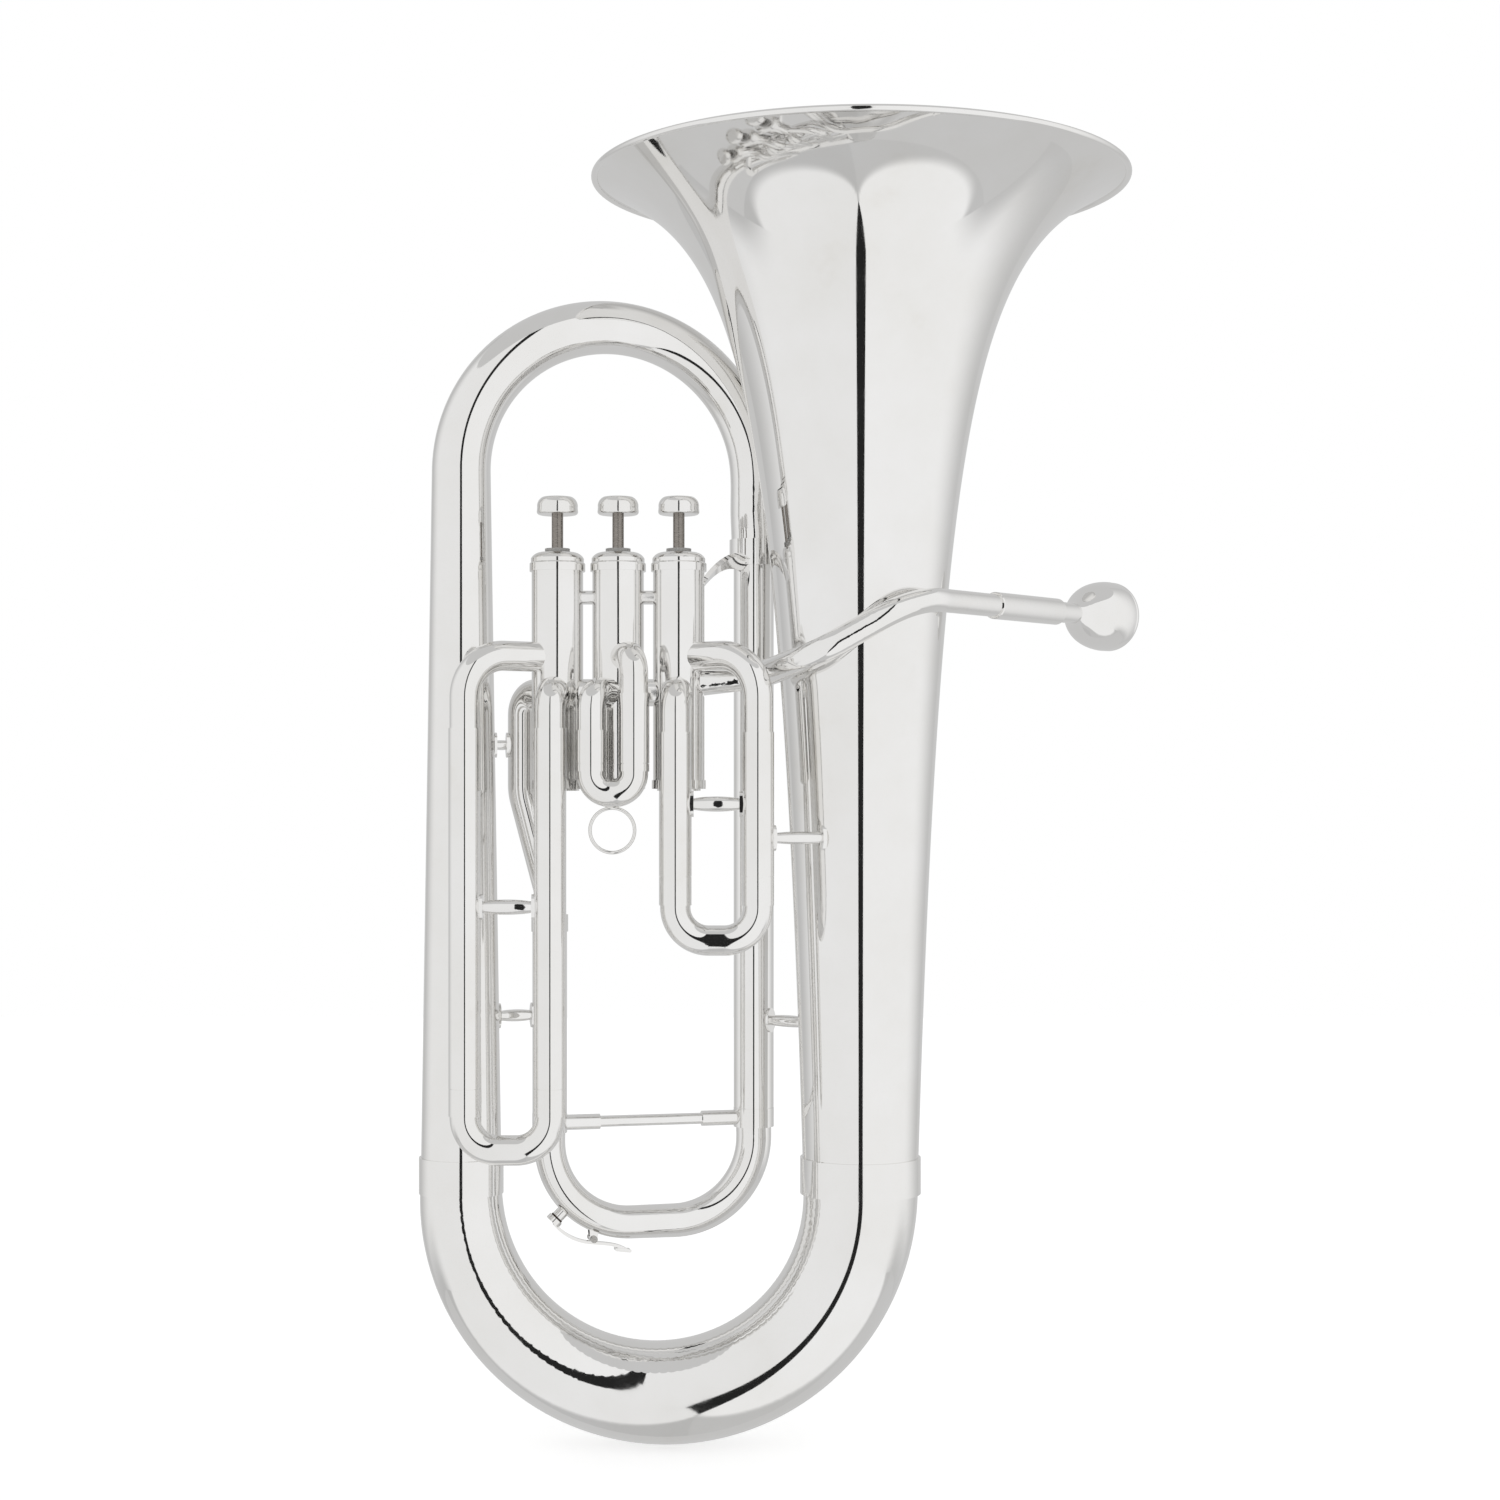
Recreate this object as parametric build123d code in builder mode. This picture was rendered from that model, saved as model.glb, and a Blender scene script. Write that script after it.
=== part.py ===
from build123d import *
import math
import os

os.makedirs("parts", exist_ok=True)

# Three-valve baritone horn with a bell that points up, in millimetres.
# The origin is the lowest point of the bottom bow. +Z runs up along the bell, +X from the
# left branch to the bell, and -Y is the side where the valve slides stand.

# Body of the horn
BELL_X = 105.2            # distance of the bell's and the left branch's axes from the middle
BELL_RIM_Z = 665.6        # height of the bell rim
BELL_RIM_R = 140.0        # an 11 inch bell
FLARE_POWER = 0.525       # the bell is a Bessel horn: r = k / (distance from the focus) ** power
FLARE_FOCUS = 30.0        # height of the horn's focus above the rim
SHEET = 0.8               # wall of the bell, the bows and the branches
RIM_WIRE_R = 1.7

BOW_LOW_R = 26.8          # outer radius of the bottom bow at its lowest point
BOW_LEFT_R = 21.2
BOW_BELL_R = 30.2
BOW_CENTRE_Z = BELL_X + BOW_LOW_R
BOW_JOINT_Z = BOW_CENTRE_Z + 8.0
FERRULE_TOP_Z = BOW_CENTRE_Z + 19.0
FERRULE_WALL = 1.0

BRANCH_TOP_Z = 512.0
BRANCH_TOP_R = 15.4
INNER_X = 49.0            # axis of the inner branch, behind the bell
INNER_Y = 40.0
TOP_BOW_END_R = 12.5
TOP_BOW_FOOT_Z = 473.0
INNER_R = 10.85

# Valves: number 1 is nearest to the bell
VALVE_1_X = 9.8
VALVE_PITCH = 31.7
VALVE_Y = -12.0
VALVE_X = [VALVE_1_X - VALVE_PITCH * number for number in range(3)]
CASING_R = 13.4
CASING_BORE_R = 12.4
CASING_BOTTOM_Z = 349.3
CASING_TOP_Z = 465.0
PISTON_GAP = 0.04         # radial running clearance of a piston in its casing
STROKE = 17.0
LOWER_PORT_Z = 395.0
UPPER_PORT_Z = 413.4
LEADPIPE_PORT_Z = 399.0
STEM_R = 3.0
BUTTON_Z = 488.0
BUTTON_TOP_Z = 497.1

# Valve tubing
TUBE_R = 7.75             # outside of the valve tubing
TUBE_WALL = 0.5
BIG_TUBE_WALL = 0.6       # wall of the main tuning slide's tubes and of the inner branch
SLEEVE_WALL = 0.55        # wall of the fixed tubes that the slides run in
FACE_GAP = 0.3            # between a moving ferrule and the tube above it
SLIDE_GAP = 0.04          # radial running clearance of a slide leg in its tube
SLIDE_Y = -40.0           # plane of the three valve slides

# Main tuning slide, which lies in a slanting plane behind the valves
TUNING_LEFT = (-59.7, 14.0)
TUNING_RIGHT = (INNER_X, INNER_Y)
TUNING_TUBE_R = 9.2       # outside of the left tube
TUNING_FOOT_Z = 172.5     # lower end of both fixed tubes
TUNING_TUBE_TOP_Z = 273.0
TUNING_BEND_R = 44.0
TUNING_LOW_Z = 112.5      # centreline of the bow at its lowest

# Mouthpiece
LEADPIPE_TURN = (131.0, -57.5, 441.0)
LEADPIPE_VALVE_R = 7.0
LEADPIPE_STATIONS = 40
LEADPIPE_END_R = 6.0
PIPE_ANGLE = 49.0         # the receiver points this many degrees back from +X
RECEIVER_START = 67.0     # along the receiver's axis, from the last turn of the leadpipe
RECEIVER_LENGTH = 58.0
MOUTHPIECE_OUT = 55.0     # from the receiver's end to the mouthpiece rim

TRIM_REACH = 20.0         # how far above and below a joint a fitting is trimmed to its tube


def finish(part, name):
    """Label a finished piece and write it."""
    part.part.label = name
    export_step(part.part, f"parts/{name}.step")


def section(plane, outer, inner=0.0):
    """Round section on a plane, hollow where an inner radius is given."""
    with BuildSketch(plane) as outline:
        Circle(outer)
        if inner > 0:
            Circle(inner, mode=Mode.SUBTRACT)
    return outline.sketch


def pipe(path, outer, inner):
    """Add a round tube of constant section along a path to the part being built."""
    sweep(section(Plane(origin=path @ 0, z_dir=path % 0), outer, inner), path=path)


def horn(path, side, radius_at, wall, stations, first_mode=Mode.ADD):
    """Add a tube whose radius changes along the path, or a filled horn where the wall is 0.

    The side vector is the normal of the path's plane. A filled horn can also be cut out.
    """
    side = Vector(*side).normalized()
    passes = [(0.0, first_mode)] + [(wall, Mode.SUBTRACT)] * (wall > 0)
    for inset, mode in passes:
        sections = []
        for station in range(stations + 1):
            share = station / stations
            along = path % share
            plane = Plane(origin=path @ share, x_dir=side.cross(along), z_dir=along)
            sections.append(section(plane, radius_at(share) - inset))
        loft(sections, mode=mode)


def ring(x, y, low, high, outer, inner):
    """Add an upright sleeve to the part being built."""
    extrude(section(Plane((x, y, low)), outer, inner), amount=high - low)


def rod(start, end, radius, mode=Mode.ADD):
    """Add or cut a round bar between two points."""
    start, end = Vector(*start), Vector(*end)
    disc = section(Plane(origin=start, z_dir=end - start), radius)
    extrude(disc, amount=(end - start).length, mode=mode)


def cut_column(x, y, low, high, radius):
    """Cut an upright cylinder out of the part being built."""
    rod((x, y, low), (x, y, high), radius, Mode.SUBTRACT)


def fit_round(x, y, height, radius):
    """Trim what is being built to sit on an upright tube at a height."""
    cut_column(x, y, height - TRIM_REACH, height + TRIM_REACH, radius)


# ---- Bell, bows and branches --------------------------------------------------------


def bell_radius(z):
    """Outer radius of the bell at a height."""
    scale = BELL_RIM_R * FLARE_FOCUS**FLARE_POWER
    return scale / (BELL_RIM_Z + FLARE_FOCUS - z) ** FLARE_POWER


def bell_point(z, inset):
    """Point of the bell's outline in its own section plane, moved inwards along the normal."""
    radius = bell_radius(z)
    slope = FLARE_POWER * radius / (BELL_RIM_Z + FLARE_FOCUS - z)
    length = math.hypot(1.0, slope)
    return (radius - inset / length, z + inset * slope / length)


BELL_STATIONS = 14
BOW_STATIONS = 16


def bell_heights():
    """Heights of the outline's points, closer together towards the rim."""
    span = BELL_RIM_Z - BOW_JOINT_Z
    shares = [1 - (1 - step / BELL_STATIONS) ** 1.8 for step in range(BELL_STATIONS + 1)]
    return [BOW_JOINT_Z + span * share for share in shares]


bell_plane = Plane((BELL_X, 0, 0), x_dir=(1, 0, 0), z_dir=(0, -1, 0))
bell_axis = Axis((BELL_X, 0, 0), (0, 0, 1))

with BuildSketch(bell_plane) as bell_section:
    with BuildLine():
        outside = Spline(*[bell_point(z, 0) for z in bell_heights()])
        inside = Spline(*[bell_point(z, SHEET) for z in bell_heights()])
        Line(outside @ 0, inside @ 0)
        Line(outside @ 1, inside @ 1)
    make_face()

with BuildPart() as bell:
    revolve(bell_section.sketch, axis=bell_axis)
finish(bell, "bell")

# The rim is rolled over a wire, so the wire's section sits on the edge of the sheet.
with BuildPart() as bell_rim_wire:
    with BuildSketch(bell_plane):
        with Locations((BELL_RIM_R, BELL_RIM_Z)):
            Circle(RIM_WIRE_R)
        add(bell_section.sketch_local, mode=Mode.SUBTRACT)
    revolve(axis=bell_axis)
finish(bell_rim_wire, "bell_rim_wire")

with BuildLine() as bottom_route:
    left_end = Line((-BELL_X, 0, BOW_JOINT_Z), (-BELL_X, 0, BOW_CENTRE_Z))
    turn = ThreePointArc(left_end @ 1, (0, 0, BOW_LOW_R), (BELL_X, 0, BOW_CENTRE_Z))
    Line(turn @ 1, (BELL_X, 0, BOW_JOINT_Z))
bottom_path = bottom_route.wire()


def bottom_bow_radius(share):
    """The bow grows steadily from the left branch to the bell, a little faster at first."""
    fullness = 1.1
    straight = BOW_LEFT_R + (BOW_BELL_R - BOW_LEFT_R) * share
    return straight + 4 * fullness * share * (1 - share)


with BuildPart() as bottom_bow:
    horn(bottom_path, (0, 1, 0), bottom_bow_radius, SHEET, BOW_STATIONS)
finish(bottom_bow, "bottom_bow")

BRANCH_FOOT = Plane((-BELL_X, 0, BOW_JOINT_Z))
BRANCH_HEAD = Plane((-BELL_X, 0, BRANCH_TOP_Z))


def branch_cone(inset, mode=Mode.ADD):
    """Add or cut the left branch's cone, moved inwards by an inset."""
    foot = section(BRANCH_FOOT, BOW_LEFT_R - inset)
    head = section(BRANCH_HEAD, BRANCH_TOP_R - inset)
    loft([foot, head], mode=mode)


with BuildPart() as left_branch:
    branch_cone(0)
    branch_cone(SHEET, Mode.SUBTRACT)
finish(left_branch, "left_branch")

# The bell, the bottom bow and the left branch as filled bodies trim what is soldered to them.
with BuildPart() as filled_horn:
    with BuildSketch(bell_plane):
        with BuildLine():
            edge = Spline(*[bell_point(z, 0) for z in bell_heights()])
            Polyline(edge @ 1, (0, BELL_RIM_Z), (0, BOW_JOINT_Z), edge @ 0)
        make_face()
    revolve(axis=bell_axis)
    branch_cone(0)
    horn(bottom_path, (0, 1, 0), bottom_bow_radius, 0, BOW_STATIONS)

with BuildPart() as bottom_bow_ferrules:
    ring(BELL_X, 0, BOW_CENTRE_Z, FERRULE_TOP_Z, BOW_BELL_R + 1.6 * FERRULE_WALL, 0)
    ring(-BELL_X, 0, BOW_CENTRE_Z, FERRULE_TOP_Z, BOW_LEFT_R + FERRULE_WALL, 0)
    add(filled_horn.part, mode=Mode.SUBTRACT)
finish(bottom_bow_ferrules, "bottom_bow_ferrules")

TOP_BOW_MIDDLE = ((INNER_X - BELL_X) / 2, INNER_Y / 2)
TOP_BOW_TURN_R = math.hypot(INNER_X + BELL_X, INNER_Y) / 2

with BuildLine() as top_route:
    turn = ThreePointArc(
        (-BELL_X, 0, BRANCH_TOP_Z),
        (*TOP_BOW_MIDDLE, BRANCH_TOP_Z + TOP_BOW_TURN_R),
        (INNER_X, INNER_Y, BRANCH_TOP_Z),
    )
    Line(turn @ 1, (INNER_X, INNER_Y, TOP_BOW_FOOT_Z))
top_path = top_route.wire()


def top_bow_radius(share):
    """The top bow narrows towards the inner branch."""
    return BRANCH_TOP_R + (TOP_BOW_END_R - BRANCH_TOP_R) * min(1.0, share * 1.18)


with BuildPart() as top_bow:
    horn(top_path, (-INNER_Y, INNER_X + BELL_X, 0), top_bow_radius, SHEET, BOW_STATIONS)
finish(top_bow, "top_bow")

with BuildPart() as inner_branch:
    ring(INNER_X, INNER_Y, TUNING_FOOT_Z, TOP_BOW_FOOT_Z, INNER_R, INNER_R - BIG_TUBE_WALL)
finish(inner_branch, "inner_branch")

TOP_FERRULE_HALF = 7.0
TOP_FERRULE_R = TOP_BOW_END_R + 0.6
with BuildPart() as top_bow_ferrule:
    ring(INNER_X, INNER_Y, TOP_BOW_FOOT_Z, TOP_BOW_FOOT_Z + TOP_FERRULE_HALF, TOP_FERRULE_R, TOP_BOW_END_R)
    ring(INNER_X, INNER_Y, TOP_BOW_FOOT_Z - TOP_FERRULE_HALF, TOP_BOW_FOOT_Z, TOP_FERRULE_R, INNER_R)
    add(top_bow.part, mode=Mode.SUBTRACT)
finish(top_bow_ferrule, "top_bow_ferrule")

# ---- Valve casings and caps ---------------------------------------------------------


def towards(number, point):
    """Unit vector in plan from a valve's axis to a point."""
    return (Vector(*point) - Vector(VALVE_X[number], VALVE_Y)).normalized()


# Each valve slide: where its two legs stand along X, the heights at which the fixed tubes, the
# ferrules and the bow end, the bend radii, and the outside radius of the moving tube.
# The crook leaves the valve at the upper port and the knuckle at the lower one.
SLIDES = {
    1: dict(crook_x=51.0, knuckle_x=8.8, crook_bend=22.0, sleeve_top=373.7, crook_sleeve_top=373.7,
            sleeve_foot=300.1, ferrule_foot=285.2, low=267.1, bend=17.0, outer=TUBE_R),
    2: dict(crook_x=-12.4, knuckle_x=-34.4, crook_bend=11.0, sleeve_top=374.7, crook_sleeve_top=393.6,
            sleeve_foot=357.8, ferrule_foot=353.6, low=342.6, bend=10.0, outer=7.3),
    3: dict(crook_x=-98.9, knuckle_x=-55.3, crook_bend=22.0, sleeve_top=375.7, crook_sleeve_top=375.7,
            sleeve_foot=191.7, ferrule_foot=177.4, low=159.8, bend=17.0, outer=TUBE_R),
}
KNUCKLE_BEND = 11.0
OUTLET_XY = (-73.5, 7.0)
CROOK_INSERT = 2.0        # how far a crook reaches into the fixed tube
LEG_GAP = 1.0             # between a slide's leg and the crook above it

PORT_DIRECTIONS = {}
for number, slide in SLIDES.items():
    index = number - 1
    PORT_DIRECTIONS[index] = [
        (towards(index, (slide["crook_x"], SLIDE_Y)), UPPER_PORT_Z),
        (towards(index, (slide["knuckle_x"], SLIDE_Y)), LOWER_PORT_Z),
        (Vector(-1, 0, 0), LOWER_PORT_Z),
        (Vector(1, 0, 0), LOWER_PORT_Z),
    ]
PORT_DIRECTIONS[0][3] = (Vector(1, 0, 0), LEADPIPE_PORT_Z)
PORT_DIRECTIONS[2][2] = (towards(2, OUTLET_XY), LOWER_PORT_Z)

PORT_R = 6.5
PORT_OVERRUN = 2.5
LINK_R = 7.1


def bore(start, direction):
    """Cut a port outwards from just behind a valve's axis, so that ports which meet there join."""
    axis_point = Vector(*start)
    rod(axis_point - direction * PORT_OVERRUN, axis_point + direction * (CASING_R + 1), PORT_R, Mode.SUBTRACT)


for index, x in enumerate(VALVE_X):
    with BuildPart() as valve_casing:
        ring(x, VALVE_Y, CASING_BOTTOM_Z, CASING_TOP_Z, CASING_R, CASING_BORE_R)
        for direction, height in PORT_DIRECTIONS[index]:
            bore((x, VALVE_Y, height), direction)
    finish(valve_casing, f"valve_casing_{index + 1}")

CAP_R = 14.5
CAP_SKIRT_Z = 458.3
CAP_TOP_Z = 468.2
CAP_NECK_R = CAP_R - 0.7  # above the cap's raised ring
CAP_FLAT_R = 9.0
CAP_RING_TOP_Z = CAP_SKIRT_Z + 4.0
STEM_HOLE_R = STEM_R + 0.2
THREAD_R = CASING_R + 0.02

with BuildPart() as top_valve_caps:
    for x in VALVE_X:
        with BuildSketch(Plane((x, VALVE_Y, 0), x_dir=(1, 0, 0), z_dir=(0, -1, 0))):
            with BuildLine():
                Polyline(
                    (STEM_HOLE_R, CASING_TOP_Z), (THREAD_R, CASING_TOP_Z), (THREAD_R, CAP_SKIRT_Z),
                    (CAP_R, CAP_SKIRT_Z), (CAP_R, CAP_RING_TOP_Z), (CAP_NECK_R, CAP_RING_TOP_Z + 0.7),
                    (CAP_NECK_R, CASING_TOP_Z),
                )
                ThreePointArc(
                    (CAP_NECK_R, CASING_TOP_Z), (CAP_R - 2.8, CAP_TOP_Z - 0.9), (CAP_FLAT_R, CAP_TOP_Z)
                )
                Polyline((CAP_FLAT_R, CAP_TOP_Z), (STEM_HOLE_R, CAP_TOP_Z), (STEM_HOLE_R, CASING_TOP_Z))
            make_face()
        revolve(axis=Axis((x, VALVE_Y, 0), (0, 0, 1)))
finish(top_valve_caps, "top_valve_caps")

BOTTOM_CAP_Z = 343.8
BOSS_TOP_Z = 353.0
SPRING_SEAT_Z = 351.0
SEAT_R = 9.0
VENT_R = 2.5

with BuildPart() as bottom_valve_caps:
    for x in VALVE_X:
        ring(x, VALVE_Y, BOTTOM_CAP_Z + 1.0, CASING_BOTTOM_Z, CASING_R + 0.7, 0)
        ring(x, VALVE_Y, CASING_BOTTOM_Z, BOSS_TOP_Z, CASING_BORE_R, 0)
        ring(x, VALVE_Y, BOTTOM_CAP_Z, BOTTOM_CAP_Z + 1.0, CASING_R - 2.0, 0)
        cut_column(x, VALVE_Y, SPRING_SEAT_Z, BOSS_TOP_Z, SEAT_R)
        cut_column(x, VALVE_Y, BOTTOM_CAP_Z, SPRING_SEAT_Z, VENT_R)
finish(bottom_valve_caps, "bottom_valve_caps")

# ---- Pistons, stems, buttons and springs --------------------------------------------

PISTON_R = CASING_BORE_R - PISTON_GAP
PISTON_BOTTOM_Z = 371.0
PISTON_TOP_Z = 462.0
POCKET_TOP_Z = 386.5
POCKET_R = 9.0
SPRING_R = 8.0
SPRING_WIRE_R = 0.5
SPRING_TURNS = 8
BUTTON_R = 10.75
FELT_R = 6.5
FELT_T = 2.0
STEM_SEAT = 3.0           # how deep the stem is screwed into the piston
STEM_REACH = 4.0          # and into the button

stem_end = BUTTON_Z + STEM_REACH
spring_rise = POCKET_TOP_Z - SPRING_SEAT_Z - 2 * SPRING_WIRE_R

for index, x in enumerate(VALVE_X):
    with BuildPart() as piston:
        ring(x, VALVE_Y, PISTON_BOTTOM_Z, PISTON_TOP_Z, PISTON_R, 0)
        cut_column(x, VALVE_Y, PISTON_BOTTOM_Z, POCKET_TOP_Z, POCKET_R)
        cut_column(x, VALVE_Y, UPPER_PORT_Z + STROKE + 11, PISTON_TOP_Z - 6, POCKET_R)
        for direction, height in PORT_DIRECTIONS[index][2:]:
            bore((x, VALVE_Y, height), direction)
        for (direction, height), side in zip(PORT_DIRECTIONS[index][:2], (1, -1)):
            raised = height + STROKE
            for way in (direction, Vector(side, 0, 0)):
                bore((x, VALVE_Y, raised), way)
        cut_column(x, VALVE_Y, PISTON_TOP_Z - STEM_SEAT, PISTON_TOP_Z, STEM_R)
    finish(piston, f"piston_{index + 1}")

    with BuildPart() as stem:
        ring(x, VALVE_Y, PISTON_TOP_Z - STEM_SEAT, BUTTON_Z + STEM_REACH, STEM_R, 0)
    finish(stem, f"valve_stem_{index + 1}")

    with BuildPart() as button:
        with BuildSketch(Plane((x, VALVE_Y, 0), x_dir=(1, 0, 0), z_dir=(0, -1, 0))):
            with BuildLine():
                Polyline((0, stem_end), (STEM_R, stem_end), (STEM_R, BUTTON_Z), (9.6, BUTTON_Z))
                ThreePointArc((9.6, BUTTON_Z), (10.4, BUTTON_Z + 0.5), (BUTTON_R, BUTTON_Z + 1.6))
                Line((BUTTON_R, BUTTON_Z + 1.6), (BUTTON_R - 0.2, BUTTON_Z + 3.8))
                ThreePointArc(
                    (BUTTON_R - 0.2, BUTTON_Z + 3.8), (9.8, BUTTON_TOP_Z - 1.8), (7.8, BUTTON_TOP_Z)
                )
                Polyline((7.8, BUTTON_TOP_Z), (0, BUTTON_TOP_Z), (0, stem_end))
            make_face()
        revolve(axis=Axis((x, VALVE_Y, 0), (0, 0, 1)))
        cut_column(x, VALVE_Y, BUTTON_TOP_Z - 1.2, BUTTON_TOP_Z, 7.2)
    finish(button, f"finger_button_{index + 1}")

    with BuildPart() as spring:
        with BuildLine():
            coil = Helix(
                pitch=spring_rise / SPRING_TURNS,
                height=spring_rise,
                radius=SPRING_R,
                center=(x, VALVE_Y, SPRING_SEAT_Z + SPRING_WIRE_R),
            )
        with BuildSketch(Plane(origin=coil @ 0, z_dir=coil % 0)):
            Circle(SPRING_WIRE_R)
        sweep()
    finish(spring, f"valve_spring_{index + 1}")

with BuildPart() as cap_felts:
    for x in VALVE_X:
        ring(x, VALVE_Y, CAP_TOP_Z, CAP_TOP_Z + FELT_T, FELT_R, STEM_HOLE_R)
finish(cap_felts, "cap_felts")

# ---- Tubes between the valves, outlet and valve slides ------------------------------

INNER_TUBE_R = TUBE_R - TUBE_WALL

with BuildPart() as valve_links:
    for x in VALVE_X[1:]:
        rod((x, VALVE_Y, LOWER_PORT_Z), (x + VALVE_PITCH, VALVE_Y, LOWER_PORT_Z), LINK_R)
    rod((VALVE_X[2], VALVE_Y, LOWER_PORT_Z), (VALVE_X[0], VALVE_Y, LOWER_PORT_Z), PORT_R, Mode.SUBTRACT)
    for x in VALVE_X:
        fit_round(x, VALVE_Y, LOWER_PORT_Z, CASING_R)
finish(valve_links, "valve_links")

outlet_foot = (*TUNING_LEFT, TUNING_TUBE_TOP_Z)
outlet_path = FilletPolyline(
    (VALVE_X[2], VALVE_Y, LOWER_PORT_Z),
    (*OUTLET_XY, LOWER_PORT_Z),
    (*OUTLET_XY, 343.0),
    (*TUNING_LEFT, 288.0),
    outlet_foot,
    radius=[KNUCKLE_BEND, 30.0, 30.0],
)
with BuildPart() as valve_outlet:
    pipe(outlet_path, TUBE_R, INNER_TUBE_R)
    fit_round(VALVE_X[2], VALVE_Y, LOWER_PORT_Z, CASING_R)
finish(valve_outlet, "valve_outlet")

with BuildPart() as tuning_tube_left:
    ring(*TUNING_LEFT, TUNING_FOOT_Z, TUNING_TUBE_TOP_Z, TUNING_TUBE_R, TUNING_TUBE_R - BIG_TUBE_WALL)
finish(tuning_tube_left, "tuning_tube_left")

COLLAR_R = TUNING_TUBE_R + 0.6
with BuildPart() as outlet_collar:
    ring(*TUNING_LEFT, TUNING_TUBE_TOP_Z, TUNING_TUBE_TOP_Z + 5, COLLAR_R, TUBE_R)
    ring(*TUNING_LEFT, TUNING_TUBE_TOP_Z - 4, TUNING_TUBE_TOP_Z, COLLAR_R, TUNING_TUBE_R)
finish(outlet_collar, "outlet_collar")

for number, slide in SLIDES.items():
    index = number - 1
    outer = slide["outer"]
    upper = FilletPolyline(
        (VALVE_X[index], VALVE_Y, UPPER_PORT_Z),
        (slide["crook_x"], SLIDE_Y, UPPER_PORT_Z),
        (slide["crook_x"], SLIDE_Y, slide["crook_sleeve_top"] - CROOK_INSERT),
        radius=slide["crook_bend"],
    )
    lower = FilletPolyline(
        (VALVE_X[index], VALVE_Y, LOWER_PORT_Z),
        (slide["knuckle_x"], SLIDE_Y, LOWER_PORT_Z),
        (slide["knuckle_x"], SLIDE_Y, slide["sleeve_top"] - CROOK_INSERT),
        radius=KNUCKLE_BEND,
    )
    with BuildPart() as crooks:
        pipe(upper, outer, outer - TUBE_WALL)
        pipe(lower, outer, outer - TUBE_WALL)
        fit_round(VALVE_X[index], VALVE_Y, LOWER_PORT_Z, CASING_R)
        fit_round(VALVE_X[index], VALVE_Y, UPPER_PORT_Z, CASING_R)
    finish(crooks, f"slide_{number}_crooks")

with BuildPart() as slide_sleeves:
    for slide in SLIDES.values():
        bore_r = slide["outer"] + SLIDE_GAP
        tops = {slide["crook_x"]: slide["crook_sleeve_top"], slide["knuckle_x"]: slide["sleeve_top"]}
        for x, top in tops.items():
            ring(x, SLIDE_Y, slide["sleeve_foot"], top, bore_r + SLEEVE_WALL, bore_r)
finish(slide_sleeves, "slide_sleeves")

bows = {}
for number, slide in SLIDES.items():
    outer = slide["outer"]
    legs_x = (slide["crook_x"], slide["knuckle_x"])
    foot = slide["ferrule_foot"]
    joint = (foot + slide["sleeve_foot"]) / 2
    bow_path = FilletPolyline(
        (legs_x[0], SLIDE_Y, joint),
        (legs_x[0], SLIDE_Y, slide["low"]),
        (legs_x[1], SLIDE_Y, slide["low"]),
        (legs_x[1], SLIDE_Y, joint),
        radius=slide["bend"],
    )
    with BuildPart() as slide_bow:
        pipe(bow_path, outer, outer - TUBE_WALL)
    finish(slide_bow, f"slide_{number}_bow")
    bows[number] = slide_bow.part

    with BuildPart() as slide_legs:
        for x in legs_x:
            ring(x, SLIDE_Y, joint, slide["sleeve_top"] - CROOK_INSERT - LEG_GAP, outer, outer - TUBE_WALL)
    finish(slide_legs, f"slide_{number}_legs")

    with BuildPart() as slide_ferrules:
        for x in legs_x:
            ring(x, SLIDE_Y, foot, slide["sleeve_foot"] - FACE_GAP, outer + SLEEVE_WALL, outer)
    finish(slide_ferrules, f"slide_{number}_ferrules")

PULL_RING_R = 11.4
PULL_RING_WIRE_R = 0.9
PULL_RING_X = (SLIDES[2]["crook_x"] + SLIDES[2]["knuckle_x"]) / 2
PULL_RING_Z = SLIDES[2]["low"] - SLIDES[2]["outer"] - PULL_RING_R - PULL_RING_WIRE_R / 2

with BuildPart() as pull_ring:
    with BuildSketch(Plane((PULL_RING_X, SLIDE_Y, PULL_RING_Z), x_dir=(1, 0, 0), z_dir=(0, 0, 1))):
        with Locations((PULL_RING_R, 0)):
            Circle(PULL_RING_WIRE_R)
    revolve(axis=Axis((PULL_RING_X, SLIDE_Y, PULL_RING_Z), (0, 1, 0)))
    add(bows[2], mode=Mode.SUBTRACT)
finish(pull_ring, "slide_2_pull_ring")

# ---- Main tuning slide --------------------------------------------------------------

tuning_span = Vector(*TUNING_RIGHT) - Vector(*TUNING_LEFT)
TUNING_ALONG = tuning_span.normalized()
TUNING_NORMAL = Vector(-TUNING_ALONG.Y, TUNING_ALONG.X, 0)
FERRULE_FOOT_Z = 162.0
TUNING_JOINT_Z = 167.0
TUNING_LEG_TOP_Z = 262.0
TUNING_BOW_R = (8.2, 9.6)
TUNING_STATIONS = 24
FERRULE_STEP = 0.1        # the moving ferrule is this much thicker than the tube above it
tuning_sides = (
    (TUNING_LEFT, TUNING_TUBE_R, TUNING_BOW_R[0]),
    (TUNING_RIGHT, INNER_R, TUNING_BOW_R[1]),
)


def tuning_point(along, z):
    """Point in the tuning slide's plane, measured from the left leg's axis."""
    return Vector(*TUNING_LEFT, z) + TUNING_ALONG * along


tuning_path = FilletPolyline(
    tuning_point(0, TUNING_JOINT_Z),
    tuning_point(0, TUNING_LOW_Z),
    tuning_point(tuning_span.length, TUNING_LOW_Z),
    tuning_point(tuning_span.length, TUNING_JOINT_Z),
    radius=TUNING_BEND_R,
).wire()


def tuning_bow_radius(share):
    """The bow grows from the left leg to the right one."""
    return TUNING_BOW_R[0] + (TUNING_BOW_R[1] - TUNING_BOW_R[0]) * share


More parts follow.
